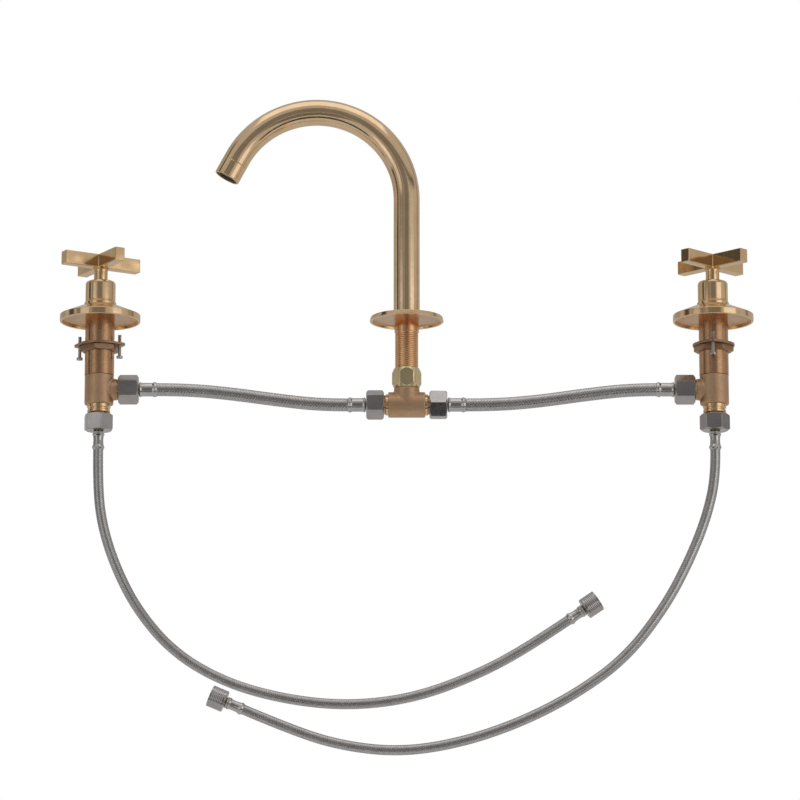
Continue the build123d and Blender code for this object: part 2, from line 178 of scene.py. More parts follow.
def metal(name, bright, dark, smooth, rough, marks=0.02, grain=0.0, waves=0.0, soil=0.5, drawn=False,
          local=True):
    """Bare metal: patina clouds, worn edges, turning marks or drawn streaks, cast grain, and
    the slow waves of hand polishing. marks, grain and waves are bump heights in millimetres."""
    material = bpy.data.materials.new(name)
    material.use_nodes = True
    tree = material.node_tree
    shader = tree.nodes["Principled BSDF"]
    place = coordinates(tree, local)
    clouds = noise(tree, place, 0.07, 5.0)
    smudges = noise(tree, place, 0.45, 6.0)
    turning = noise(tree, place, 3.0, 3.0, (0.5, 0.5, 0.01) if drawn else (0.06, 0.06, 1.0))
    scratches = noise(tree, place, 1.0, 2.0, (1.2, 1.2, 0.06))
    edge = ramp(tree, add_node(tree, "NewGeometry").outputs["Pointiness"], 0.505, 0.56)
    tarnish = ramp(tree, weighted(tree, clouds, 0.7, smudges, 0.3), 0.36, 0.64, 0.0, soil)
    colour = blend_colour(tree, tarnish, bright, dark)
    streak = ramp(tree, turning, 0.35, 0.65, 0.0, 0.15)
    colour = blend_colour(tree, streak, colour, dark)
    colour = blend_colour(tree, maths(tree, "MULTIPLY", edge, 0.5), colour, bright)
    roughness = ramp(tree, weighted(tree, smudges, 0.6, scratches, 0.4), 0.35, 0.68, smooth, rough)
    height = maths(tree, "MULTIPLY", turning, marks)
    if waves:
        swell = noise(tree, place, 0.045, 1.0)
        height = maths(tree, "ADD", height, maths(tree, "MULTIPLY", swell, waves))
    if grain:
        pits = noise(tree, place, 2.2, 6.0)
        height = maths(tree, "ADD", height, maths(tree, "MULTIPLY", pits, grain))
    bump = add_node(tree, "Bump", {"Height": height})
    bump.inputs["Strength"].default_value = 1.0
    bump.inputs["Distance"].default_value = MM
    shader.inputs["Metallic"].default_value = 1.0
    tree.links.new(colour, shader.inputs["Base Color"])
    tree.links.new(roughness, shader.inputs["Roughness"])
    tree.links.new(bump.outputs[0], shader.inputs["Normal"])
    return material


def braid_steel():
    """Flat strands of fine steel wires, a tone for each strand, painted shade between wires and at strand
    edges.
    """
    wires = 6
    material = bpy.data.materials.new("braid_steel")
    material.use_nodes = True
    tree = material.node_tree
    shader = tree.nodes["Principled BSDF"]
    across = add_node(tree, "Attribute", attribute_name="across").outputs["Fac"]
    tone = add_node(tree, "Attribute", attribute_name="tone").outputs["Fac"]
    swing = maths(tree, "SINE", maths(tree, "MULTIPLY", across, wires * math.pi / 2))
    round_wire = maths(tree, "ABSOLUTE", swing)
    wire_crevice_shade = ramp(tree, round_wire, 0.0, 0.45, 1.0, 0.0)
    edge = ramp(tree, maths(tree, "ABSOLUTE", across), 0.72, 1.0)
    colour = blend_colour(tree, tone, (0.66, 0.64, 0.63), (0.44, 0.43, 0.42))
    # painted shade: the colour darkens in the crevices between the round wires of each strand
    colour = blend_colour(tree, maths(tree, "MULTIPLY", wire_crevice_shade, 0.5), colour, (0.10, 0.10, 0.10))
    # painted shade: the colour darkens along each strand's edges, where it tucks beside its neighbours
    colour = blend_colour(tree, maths(tree, "MULTIPLY", edge, 0.75), colour, (0.08, 0.08, 0.08))
    place = coordinates(tree, True)
    roughness = ramp(tree, noise(tree, place, 0.6), 0.3, 0.7, 0.22, 0.34)
    bump = add_node(tree, "Bump", {"Height": maths(tree, "MULTIPLY", round_wire, 0.006)})
    bump.inputs["Distance"].default_value = MM
    shader.inputs["Metallic"].default_value = 1.0
    tree.links.new(colour, shader.inputs["Base Color"])
    tree.links.new(roughness, shader.inputs["Roughness"])
    tree.links.new(bump.outputs[0], shader.inputs["Normal"])
    return material


def moulded(name, light, dark, roughness, grain):
    """Rubber, plastic or ceramic: a mottled colour with a fine grain."""
    material = bpy.data.materials.new(name)
    material.use_nodes = True
    tree = material.node_tree
    shader = tree.nodes["Principled BSDF"]
    place = coordinates(tree, False)
    mottle = ramp(tree, noise(tree, place, 0.5), 0.3, 0.7)
    speck = noise(tree, place, 6.0, 2.0)
    bump = add_node(tree, "Bump", {"Height": maths(tree, "MULTIPLY", speck, grain)})
    bump.inputs["Distance"].default_value = MM
    tree.links.new(blend_colour(tree, mottle, light, dark), shader.inputs["Base Color"])
    tree.links.new(ramp(tree, speck, 0.3, 0.7, roughness, roughness + 0.12), shader.inputs["Roughness"])
    tree.links.new(bump.outputs[0], shader.inputs["Normal"])
    return material


METALS = {
    "polished_brass": dict(bright=(0.90, 0.65, 0.39), dark=(0.68, 0.47, 0.26), smooth=0.08, rough=0.17,
                           marks=0.001),
    "handle_brass": dict(bright=(0.90, 0.63, 0.36), dark=(0.66, 0.44, 0.22), smooth=0.10, rough=0.18,
                         marks=0.0006, waves=0.7),
    "drawn_brass": dict(bright=(0.90, 0.66, 0.42), dark=(0.70, 0.50, 0.30), smooth=0.09, rough=0.18,
                        marks=0.001, drawn=True),
    "raw_brass": dict(bright=(0.88, 0.50, 0.26), dark=(0.62, 0.32, 0.15), smooth=0.14, rough=0.24,
                      marks=0.001),
    "barrel_brass": dict(bright=(0.66, 0.39, 0.22), dark=(0.44, 0.24, 0.13), smooth=0.18, rough=0.30,
                         marks=0.001),
    "plate_back": dict(bright=(0.80, 0.58, 0.41), dark=(0.64, 0.45, 0.31), smooth=0.36, rough=0.50,
                       marks=0.003, grain=0.006),
    "cast_brass": dict(bright=(0.70, 0.46, 0.29), dark=(0.54, 0.34, 0.20), smooth=0.42, rough=0.56,
                       marks=0.001, grain=0.03),
    "pale_brass": dict(bright=(0.86, 0.71, 0.42), dark=(0.66, 0.52, 0.28), smooth=0.16, rough=0.28,
                       marks=0.001),
    "dull_brass": dict(bright=(0.52, 0.34, 0.21), dark=(0.34, 0.21, 0.13), smooth=0.34, rough=0.50,
                       marks=0.003, grain=0.01),
    "nickel_plate": dict(bright=(0.52, 0.495, 0.49), dark=(0.36, 0.34, 0.335), smooth=0.12, rough=0.20,
                         marks=0.0008),
    "stainless_sleeve": dict(bright=(0.62, 0.60, 0.59), dark=(0.45, 0.43, 0.42), smooth=0.11, rough=0.20,
                             marks=0.001),
    "zinc_screw": dict(bright=(0.62, 0.60, 0.57), dark=(0.36, 0.35, 0.33), smooth=0.22, rough=0.38,
                       marks=0.002),
    "dark_core": dict(bright=(0.06, 0.06, 0.06), dark=(0.03, 0.03, 0.03), smooth=0.45, rough=0.60, marks=0.0),
}
MOULDED = {
    "black_rubber": ((0.030, 0.030, 0.032), (0.015, 0.015, 0.016), 0.55, 0.03),
    "dark_plastic": ((0.060, 0.060, 0.062), (0.035, 0.035, 0.036), 0.35, 0.01),
    "white_ceramic": ((0.86, 0.85, 0.82), (0.78, 0.77, 0.74), 0.15, 0.004),
}
made = {}


def finish(name, local=True):
    """The material of that name, for a piece made here (local) or for a CAD node."""
    key = name if local else name + "_cad"
    if key not in made:
        if name == "steel_braid":
            made[key] = braid_steel()
        elif name in MOULDED:
            made[key] = moulded(key, *MOULDED[name])
        else:
            made[key] = metal(key, local=local, **METALS[name])
    return made[key]


# ---- shapes: (points, faces), in millimetres ---------------------------------------------
def softened(outline, radius, steps=4):
    """The closed (radius, height) outline with its corners rounded off."""
    count = len(outline)
    corners = [Vector(point[:2]) for point in outline]
    result = []
    for i, corner in enumerate(corners):
        own = outline[i][2] if len(outline[i]) > 2 else radius
        back = corners[i - 1] - corner
        ahead = corners[(i + 1) % count] - corner
        if own == 0 or corner.x == 0:
            result.append(corner)
            continue
        half = max(back.angle(ahead) / 2, 0.05)
        reach = min(own / math.tan(half), 0.45 * back.length, 0.45 * ahead.length)
        start = corner + back.normalized() * reach
        end = corner + ahead.normalized() * reach
        for step in range(steps + 1):
            t = step / steps
            result.append(start * (1 - t) ** 2 + corner * 2 * t * (1 - t) + end * t ** 2)
    return np.array([tuple(point) for point in result])


def grid(points, close_first=True, close_second=True):
    """Quads over a two-way grid of points."""
    points = np.asarray(points, float)
    rows, columns = points.shape[:2]
    row = np.arange(rows if close_first else rows - 1)
    column = np.arange(columns if close_second else columns - 1)
    a, b = np.meshgrid(row, column, indexing="ij")
    c, d = (a + 1) % rows, (b + 1) % columns
    faces = np.stack([a * columns + b, c * columns + b, c * columns + d, a * columns + d], -1)
    return points.reshape(-1, 3), faces.reshape(-1, 4)


def around(radii, heights, angles):
    """Grid points from radii and heights, each (angles, profile points)."""
    angles = angles[:, None]
    return np.stack([radii * np.cos(angles), radii * np.sin(angles), heights], -1)


def lathe(outline, corner=0.3, segments=96):
    """Solid of revolution about Z from a closed (radius, height) outline."""
    profile = softened(outline, corner)
    angles = np.linspace(0, FULL_TURN, segments, endpoint=False)
    ones = np.ones((segments, 1))
    return grid(around(ones * profile[:, 0], ones * profile[:, 1], angles))


def threaded(outline, low, high, pitch, depth, corner=0.3, segments=72):
    """A lathe whose upright run from low to high carries a helical thread. The outline goes
    up that run, whose ends are two of its points."""
    profile = softened(outline, corner)
    radius = max(r for r, z, *_ in outline if abs(z - low) < 1e-6)
    on_run = np.abs(profile[:, 0] - radius) < 1e-3
    between = on_run & (profile[:, 1] > low - 1e-6) & (profile[:, 1] < high + 1e-6)
    first = int(np.argmax(between))
    last = len(between) - 1 - int(np.argmax(between[::-1]))
    heights = np.arange(profile[first, 1], profile[last, 1], pitch / 9)
    run = np.stack([np.full(len(heights), radius), heights], -1)
    profile = np.concatenate([profile[:first], run, profile[last:]])
    fade = np.clip((profile[:, 1] - low) / pitch, 0, 1) * np.clip((high - profile[:, 1]) / pitch, 0, 1)
    fade[:first] = 0
    fade[first + len(heights):] = 0
    angles = np.linspace(0, FULL_TURN, segments, endpoint=False)
    phase = profile[:, 1] / pitch - angles[:, None] / FULL_TURN
    groove = depth * fade * (0.5 - 0.5 * np.cos(FULL_TURN * phase)) ** 0.8
    radii = profile[:, 0] - groove
    heights = np.ones((segments, 1)) * profile[:, 1]
    return grid(around(radii, heights, angles))


def polar(outline_at, angles, corner=0.3):
    """Solid about Z whose (radius, height) outline changes with the angle."""
    profiles = np.array([softened(outline_at(angle), corner) for angle in angles])
    return grid(around(profiles[:, :, 0], profiles[:, :, 1], np.asarray(angles)))


def hexagon_angles(turn):
    """Angles round a hexagon that has a corner at 'turn', closer together at its corners."""
    steps = np.linspace(-1, 1, 25)[:-1]
    sector = math.radians(30) * np.sign(steps) * (1 - (1 - np.abs(steps)) ** 1.8)
    return [math.radians(turn + 30 + 60 * i) + a for i in range(6) for a in sector]


def hexagon_radius(angle, flats, turn, rounding):
    """Distance from the axis to the side of a hexagon with rounded corners."""
    inner = flats / 2
    offset = (angle - math.radians(turn)) % math.radians(60) - math.radians(30)
    to_corner = math.radians(30) - abs(offset)
    centre = (inner - rounding) / math.cos(math.radians(30))
    tangent = math.atan2(rounding * 0.5, centre + rounding * math.cos(math.radians(30)))
    if to_corner >= tangent:
        return inner / math.cos(offset)
    return centre * math.cos(to_corner) + math.sqrt(rounding ** 2 - (centre * math.sin(to_corner)) ** 2)


def hex_nut(flats, bottom, top, turn, crown, inner, rounding=0.7):
    """Hexagon nut with conical chamfers. inner is its bore, from the top down."""
    widest = flats / math.sqrt(3) + 0.2
    round_face = flats / 2 - 0.4

    def outline_at(angle):
        side = hexagon_radius(angle, flats, turn, rounding)
        cut = crown * (side - round_face) / (widest - round_face)
        return [(round_face, bottom), (side, bottom + cut, 0.25), (side, top - cut, 0.25),
                (round_face, top), *inner]

    return polar(outline_at, hexagon_angles(turn))


def merged(*shapes):
    points, faces, start = [], [], 0
    for shape_points, shape_faces, *_ in shapes:
        points.append(shape_points)
        faces += [[start + i for i in face] for face in shape_faces]
        start += len(shape_points)
    return np.concatenate(points), faces


def moved(shape, matrix):
    points, faces = shape
    turn = np.array(matrix.to_3x3())
    return points @ turn.T + np.array(matrix.translation), faces


def shift(x, y, z):
    return Matrix.Translation((x, y, z))


def about(axis, degrees):
    return Matrix.Rotation(math.radians(degrees), 4, axis)


def axes(origin, z_axis, x_axis):
    """Matrix that puts a shape's own Z and X along these directions."""
    z = Vector(z_axis).normalized()
    x = Vector(x_axis)
    x = (x - z * x.dot(z)).normalized()
    y = z.cross(x)
    turn = Matrix((x, y, z)).transposed().to_4x4()
    return Matrix.Translation(origin) @ turn


def extent(node):
    """Lowest and highest corner of a CAD node, in millimetres."""
    low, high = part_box(node)
    return low / MM, high / MM


def make_mesh(name, shape, scale=MM):
    points, faces = shape[:2]
    mesh = bpy.data.meshes.new(name)
    mesh.from_pydata((np.asarray(points) * scale).tolist(), [], [list(face) for face in faces])
    bm = bmesh.new()
    bm.from_mesh(mesh)
    bmesh.ops.remove_doubles(bm, verts=bm.verts, dist=1e-6 * scale / MM)
    bmesh.ops.dissolve_degenerate(bm, edges=bm.edges, dist=1e-7 * scale / MM)
    bmesh.ops.delete(bm, geom=[e for e in bm.edges if not e.link_faces], context="EDGES")
    bmesh.ops.recalc_face_normals(bm, faces=bm.faces)
    bm.to_mesh(mesh)
    bm.free()
    return mesh


def add_piece(name, parts, body, slot, replaced, under=None, look=None):
    """One visible piece that stands for CAD nodes. parts is a list of (shape, place): each
    shape's own coordinates are kept in the attribute 'local', for the turning marks.
    under is (material, test) for the faces whose local centre and normal pass the test."""
    meshes = []
    for shape, place in parts:
        mesh = make_mesh(name, shape)
        own = shape[2] if len(shape) > 2 else np.array([tuple(v.co) for v in mesh.vertices]) / MM
        attribute = mesh.attributes.new("local", "FLOAT_VECTOR", "POINT")
        attribute.data.foreach_set("vector", own.astype(np.float32).ravel())
        if under:
            for face in mesh.polygons:
                face.material_index = int(under[1](face.center / MM, face.normal))
        if place is not None:
            in_metres = place.copy()
            in_metres.translation = place.translation * MM
            mesh.transform(in_metres)
        meshes.append(mesh)
    joined = bmesh.new()
    for mesh in meshes:
        joined.from_mesh(mesh)
    result = meshes[0]
    joined.to_mesh(result)
    joined.free()
    for mesh in meshes[1:]:
        bpy.data.meshes.remove(mesh)
    obj = bpy.data.objects.new(name, result)
    bpy.context.scene.collection.objects.link(obj)
    result.materials.append(finish(look or slot))
    if under:
        result.materials.append(finish(under[0]))
    for face in result.polygons:
        face.use_smooth = True
    normals = obj.modifiers.new("flat faces stay flat", "WEIGHTED_NORMAL")
    normals.weight = 80
    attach(obj, body)
    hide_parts(*replaced)
    return obj


# ---- spout -----------------------------------------------------------------------------
def spout_point(distance):
    """Point and direction on the spout's centre line, from the foot of the stem."""
    stem = STEM_TOP - STEM_FOOT
    arch = ARCH_RADIUS * ARCH_SWEEP
    if distance <= stem:
        return Vector((0, 0, STEM_FOOT + distance)), Vector((0, 0, 1))
    turned = min((distance - stem) / ARCH_RADIUS, ARCH_SWEEP)
    spot = Vector((-ARCH_RADIUS + ARCH_RADIUS * math.cos(turned), 0,
                   STEM_TOP + ARCH_RADIUS * math.sin(turned)))
    along = Vector((-math.sin(turned), 0, math.cos(turned)))
    return spot + along * max(distance - stem - arch, 0.0), along


SPOUT_LENGTH = STEM_TOP - STEM_FOOT + ARCH_RADIUS * ARCH_SWEEP + TIP_LENGTH
OUTLET_CENTRE, OUTLET_ALONG = spout_point(SPOUT_LENGTH)
OUTLET_PLACE = axes(OUTLET_CENTRE, -OUTLET_ALONG, (0, 1, 0))


def spout_tube():
    """Bent tube with softened ends, from the foot of the stem to the outlet collar."""
    length = SPOUT_LENGTH - COLLAR_LENGTH
    lip = [(0.0, 0.45), (0.08, 0.2), (0.25, 0.05), (0.5, 0.0)]
    ends = [(d, SPOUT_RADIUS - cut) for d, cut in lip]
    middle = [(d, SPOUT_RADIUS) for d in np.linspace(1.5, length - 1.5, 150)]
    outer = ends + middle + [(length - d, r) for d, r in reversed(ends)]
    inner = [(d, SPOUT_BORE) for d in np.linspace(length, 0, 80)]
    angles = np.linspace(0, FULL_TURN, 96, endpoint=False)
    across = Vector((0, 1, 0))
    rows = []
    straight = []
    for distance, radius in outer + inner:
        centre, along = spout_point(distance)
        side = across.cross(along)
        ring = [centre + side * radius * math.cos(a) + across * radius * math.sin(a) for a in angles]
        rows.append([tuple(point) for point in ring])
        straight.append([(radius * math.cos(a), radius * math.sin(a), distance) for a in angles])
    points, faces = grid(rows)
    return points, faces, np.array(straight).reshape(-1, 3)


def outlet_collar():
    spigot = SPOUT_BORE - 0.05
    end = COLLAR_LENGTH + 6.0
    return lathe([
        (9.4, 0), (10.6, 0, 0.5), (SPOUT_RADIUS, 0.5, 0.5), (SPOUT_RADIUS, COLLAR_LENGTH, 0.45),
        (spigot, COLLAR_LENGTH), (spigot, end), (7.6, end), (7.6, 9.0), (9.4, 9.0),
    ])


def spout_escutcheon():
    high = extent("spout_escutcheon")[1]
    rim = high.x
    top = high.z
    return lathe([
        (10.25, 2.2, 0.1), (rim - 2.6, 2.2, 0.5), (rim - 2.3, 0), (rim - 0.5, 0, 0.4), (rim, 0.5, 0.5),
        (rim - 0.8, top - 0.3, 0.5), (rim - 1.4, top, 0.6), (10.25, top, 0.1),
    ], segments=144)


def spout_shank():
    low, high = extent("spout_shank")
    shoulder = -40.2
    return threaded([
        (6.0, low.z), (PIPE_THREAD, low.z), (PIPE_THREAD, shoulder), (9.75, shoulder, 0), (9.75, -9.5, 0),
        (10.2, -9.0, 0.3), (10.2, 3.9), (9.4, 3.9), (9.4, high.z), (6.0, high.z),
    ], shoulder, -9.5, 1.6, 0.2, segments=96)


def coupling_nut():
    low, high = extent("coupling_nut")
    bore = [(8.4, high.z), (8.4, low.z)]
    return hex_nut(NUT_FLATS, low.z, high.z, 0.0, 5.4, bore, rounding=2.6)


def cast_body(name, shapes):
    """Solids melted into one casting with a small fillet where they meet."""
    mesh = make_mesh(name, merged(*shapes), 1.0)
    obj = bpy.data.objects.new(name, mesh)
    bpy.context.scene.collection.objects.link(obj)
    remesh = obj.modifiers.new("melt", "REMESH")
    remesh.mode = "VOXEL"
    remesh.voxel_size = 0.42
    smooth = obj.modifiers.new("fillet", "SMOOTH")
    smooth.factor = 0.5
    smooth.iterations = 5
    graph = bpy.context.evaluated_depsgraph_get()
    melted = bpy.data.meshes.new_from_object(obj.evaluated_get(graph))
    points = np.array([tuple(v.co) for v in melted.vertices])
    faces = [list(face.vertices) for face in melted.polygons]
    bpy.data.objects.remove(obj)
    bpy.data.meshes.remove(mesh)
    bpy.data.meshes.remove(melted)
    return points, faces


def thread_end(start, end, ring, ring_end):
    """Polished ring and pipe thread at the end of a casting, along Z from 'start'."""
    return threaded([
        (5.5, start), (ring, start), (ring, ring_end, 0.35), (PIPE_THREAD, ring_end + 0.4, 0),
        (PIPE_THREAD, end - 0.8, 0), (PIPE_THREAD - 0.8, end), (5.5, end),
    ], ring_end + 0.4, end - 0.8, 1.4, 0.7)


def tee_parts():
    high = extent("tee_body")[1]
    radius = 10.7
    half = 15.5
    run = moved(lathe([(5.5, -half), (radius, -half, 0.8), (radius, half, 0.8), (5.5, half)]),
                about("Y", 90))
    shoulder = -57.0 - TEE_HEIGHT
    branch = lathe([(0, 0), (radius, 0), (radius, shoulder, 0.8), (0, shoulder)])
    core = cast_body("tee_core", [run, branch])
    end = thread_end(half - 0.8, high.x, 8.9, half + 1.8)
    at_tee = shift(0, 0, TEE_HEIGHT)
    spigot = lathe([(5.5, -58.0), (PIPE_THREAD, -58.0), (PIPE_THREAD, high.z), (5.5, high.z)])
    return [(core, at_tee), (end, at_tee @ about("Y", 90)), (end, at_tee @ about("Y", -90)), (spigot, None)]


# ---- valves, each about its own axis, outlet towards +X ----------------------------------
def casting_parts(place):
    top = -46.0
    foot = -71.0
    body = lathe([(0, foot), (12.1, foot, 1.0), (12.1, top, 0.4), (0, top)])
    branch = moved(lathe([(0, 0), (9.0, 0), (9.0, 15.2, 0.8), (0, 15.2)]),
                   shift(0, 0, OUTLET_HEIGHT) @ about("Y", 90))
    core = cast_body("casting_core", [body, branch])
    rings = threaded([
        (4.2, -88.0), (PIPE_THREAD - 0.8, -88.0), (PIPE_THREAD, -87.2, 0), (PIPE_THREAD, -78.4, 0),
        (9.6, -77.6, 0.3), (9.6, -75.8, 0.3), (9.0, -75.2, 0.2), (9.0, -74.2, 0.2), (9.8, -73.6, 0.35),
        (9.8, foot + 1.0), (4.2, foot + 1.0),
    ], -87.2, -78.4, 1.4, 0.7)
    outlet = thread_end(14.4, 28.0, 8.6, 15.4)
    return [(core, place), (rings, place), (outlet, place @ shift(0, 0, OUTLET_HEIGHT) @ about("Y", 90))]


def valve_barrel():
    return threaded([
        (9.0, -52.0), (11.15, -52.0), (11.15, -46.0), (12.3, -46.0, 0), (12.3, 13.9, 0), (10.8, 13.9),
        (10.8, 24.0), (9.8, 24.0), (9.8, -30.0), (9.0, -32.0),
    ], -46.0, 13.9, 1.0, 0.035, segments=96)


def valve_escutcheon():
    low, high = extent("hot_escutcheon")
    rim = (high.x - low.x) / 2
    return lathe([
        (12.4, 11.2, 0.1), (rim - 2.4, 3.4, 0.6), (rim - 2.0, 0), (rim - 0.5, 0, 0.4), (rim, 0.5, 0.5),
        (rim, 5.6, 0.7), (13.8, 14.0, 0.2), (12.4, 14.0, 0.1),
    ], segments=144)


def valve_bonnet():
    return lathe([
        (6.05, 34.6, 0.3), (6.05, 31.6, 0), (10.85, 31.6), (10.85, 14.0), (13.4, 14.0, 0.3),
        (13.4, 16.2, 0.5), (12.5, 16.9, 0.2), (12.1, 16.95, 0.1), (12.1, 17.5, 0.1), (12.6, 17.9, 0.2),
        (12.6, 34.6, 3.2),
    ], segments=120)


def rounded_cross(reach, half_width, inner_fillet=0.8, steps=5):
    """Outline of a four-armed cross, with small fillets where the arms meet."""
    points = []
    for quarter in range(4):
        turn = Matrix.Rotation(math.radians(90 * quarter), 2)
        points.append(turn @ Vector((reach, -half_width)))
        points.append(turn @ Vector((reach, half_width)))
        centre = Vector((half_width + inner_fillet, half_width + inner_fillet))
        for step in range(steps + 1):
            angle = math.radians(270 - 90 * step / steps)
            points.append(turn @ (centre + Vector((math.cos(angle), math.sin(angle))) * inner_fillet))
    return points


def cross_handle():
    """Square arms with crisp bevelled edges on a flared round neck."""
    high = extent("hot_cross_handle")[1]
    bottom = 46.0
    outline = rounded_cross(35.0, 4.5)
    bm = bmesh.new()
    base = [bm.verts.new((p.x, p.y, bottom)) for p in outline]
    face = bm.faces.new(base)
    lifted = bmesh.ops.extrude_face_region(bm, geom=[face])["geom"]
    top = [v for v in lifted if isinstance(v, bmesh.types.BMVert)]
    bmesh.ops.translate(bm, verts=top, vec=(0, 0, high.z - bottom))
    bmesh.ops.recalc_face_normals(bm, faces=bm.faces)
    crisp = [e for e in bm.edges if e.calc_face_angle(0) > math.radians(25)]
    bmesh.ops.bevel(bm, geom=crisp, offset=0.7, segments=4, profile=0.5, affect="EDGES")
    bm.verts.ensure_lookup_table()
    points = np.array([tuple(v.co) for v in bm.verts])
    faces = [[v.index for v in f.verts] for f in bm.faces]
    bm.free()
    neck = lathe([
        (3.85, 31.9, 0.2), (5.75, 31.9, 0.4), (5.75, 43.0, 3.0), (6.7, 46.3, 0), (3.85, 46.3, 0),
    ])
    return merged((points, faces), neck)


def lug_radius(angle):
    """Distance from the axis to the edge of the back-nut's two-lug flange."""
    normals = np.linspace(0, FULL_TURN, 721)
    reach = np.maximum(17.6, LUG_CENTRE * np.abs(np.cos(normals)) + 4.6)
    facing = np.cos(normals - angle)
    ahead = facing > 0.05
    return float(np.min(reach[ahead] / facing[ahead]))


def lugged_backnut():
    top = -19.0
    bore = 12.35
    angles = np.linspace(0, FULL_TURN, 180, endpoint=False)
    flange = polar(lambda a: [(bore, top - 2), (lug_radius(a), top - 2), (lug_radius(a), top), (bore, top)],
                   angles, 0.35)
    boss = hex_nut(29.0, top - 7, top - 1.9, 30.0, 0.9, [(bore, top - 1.9), (bore, top - 7)])
    return merged(flange, boss)


def jack_screw():
    """Threaded screw with a slotted cheese head below."""
    stem = threaded([
        (0, -30.2), (1.5, -30.2, 0), (1.5, -12.4, 0), (1.1, -12.0, 0), (0, -12.0),
    ], -30.2, -12.4, 0.7, 0.24, segments=32)
    slot = 0.4

    def outline_at(angle):
        depth = 0.8 if abs(2.6 * math.sin(angle)) < slot else 0.0
        return [(0, -32.0 + depth), (2.6, -32.0 + depth, 0.2), (2.6, -30.0, 0.3), (0, -30.0)]

    return merged(stem, polar(outline_at, np.linspace(0, FULL_TURN, 96, endpoint=False), 0.2))


# ---- hose ends, each in its own frame: origin on the sealing face, +Z along the hose ------
def hose_nut(grip, turn):
    hole = TAIL_RADIUS + 0.5
    thread = PIPE_THREAD + 0.05
    inner = [(hole, NUT_OVERLAP, 0.3), (hole, NUT_OVERLAP - 1.8, 0), (thread, NUT_OVERLAP - 1.8, 0),
             (thread, -grip, 0.3)]
    return hex_nut(NUT_FLATS, -grip, NUT_OVERLAP, turn, 1.7, inner)


def free_nut():
    """Round nut with finger rings."""
    mouth = -8.5
    radius = 9.0
    rings = []
    for i in range(7):
        start = 1.5 + mouth + 1.45 * i
        rings += [(radius, start, 0.1), (radius - 0.16, start + 0.5, 0.1), (radius, start + 1.0, 0.1)]
    return lathe([
        (7.15, mouth, 0.3), (radius, mouth, 0.6), *rings, (radius, NUT_OVERLAP, 0.9),
        (4.1, NUT_OVERLAP, 0.3), (4.1, 3.2, 0), (6.95, 3.2, 0), (6.95, -0.3, 0), (7.15, -0.3, 0),
    ], corner=0.2)


def supply_ferrule(radius, start, end):
    """Crimped sleeve with two beads beside the nut and one at the hose's end."""
    bead = radius + 0.85
    return lathe([
        (TAIL_RADIUS, start), (radius - 0.5, start, 0.2), (radius - 0.2, start + 0.5, 0.3),
        (bead, start + 1.2, 0.6), (radius, start + 2.1, 0.3), (bead, start + 3.0, 0.6),
        (radius - 0.1, start + 4.6, 1.0), (radius - 0.3, (start + end) / 2, 8.0), (radius, end - 4.2, 1.0),
        (bead, end - 2.2, 1.0), (radius + 0.1, end - 0.5, 0.4), (radius - 0.2, end, 0.3), (TAIL_RADIUS, end),
    ], segments=72)


def link_ferrule(radius, start, end):
    """Long polished sleeve with a soft bead at each end."""
    bead = radius + 0.8
    return lathe([
        (TAIL_RADIUS, start), (radius - 0.6, start, 0.2), (bead, start + 1.1, 0.6),
        (radius, start + 2.6, 0.8), (radius, end - 4.0, 1.0), (bead, end - 2.3, 1.2),
        (radius + 0.1, end - 0.5, 0.4), (radius - 0.2, end, 0.3), (TAIL_RADIUS, end),
    ], segments=72)


# ---- hoses -----------------------------------------------------------------------------
def route_points(name):
    """Closely spaced points, in metres, on the smooth line through a hose's route."""
    curve = bpy.data.curves.new(name, "CURVE")
    curve.dimensions = "3D"
    curve.resolution_u = 48
    spline = curve.splines.new("NURBS")
    route = ROUTES[name]
    spline.points.add(len(route) - 1)
    for point, spot in zip(spline.points, route):
        point.co = (*(Vector(spot) * MM), 1.0)
    spline.order_u = 3
    spline.use_endpoint_u = True
    obj = bpy.data.objects.new(name, curve)
    bpy.context.scene.collection.objects.link(obj)
    mesh = bpy.data.meshes.new_from_object(obj)
    points = np.array([tuple(v.co) for v in mesh.vertices])
    bpy.data.objects.remove(obj)
    bpy.data.curves.remove(curve)
    bpy.data.meshes.remove(mesh)
    return points


class HoseLine:
    """Places at a distance along a hose, an angle round it and a radius, in millimetres."""

    def __init__(self, points):
        self.points = points / MM
        steps = np.linalg.norm(np.diff(self.points, axis=0), axis=1)
        self.travel = np.concatenate([[0], np.cumsum(steps)])
        self.length = self.travel[-1]
        tangents = np.gradient(self.points, self.travel, axis=0)
        self.tangents = tangents / np.linalg.norm(tangents, axis=1)[:, None]

    def at(self, distance, angle, radius):
        centre = np.stack([np.interp(distance, self.travel, self.points[:, i]) for i in range(3)], -1)
        along = np.stack([np.interp(distance, self.travel, self.tangents[:, i]) for i in range(3)], -1)
        along /= np.linalg.norm(along, axis=-1, keepdims=True)
        side = np.cross(along, np.array([0.0, 1.0, 0.0]))
        side /= np.linalg.norm(side, axis=-1, keepdims=True)
        up = np.cross(side, along)
        past_end = np.where(distance > self.length, distance - self.length, 0)
        beyond = np.where(distance < 0, distance, past_end)
        spot = centre + along * beyond[..., None]
        return spot + radius[..., None] * (np.cos(angle)[..., None] * side + np.sin(angle)[..., None] * up)


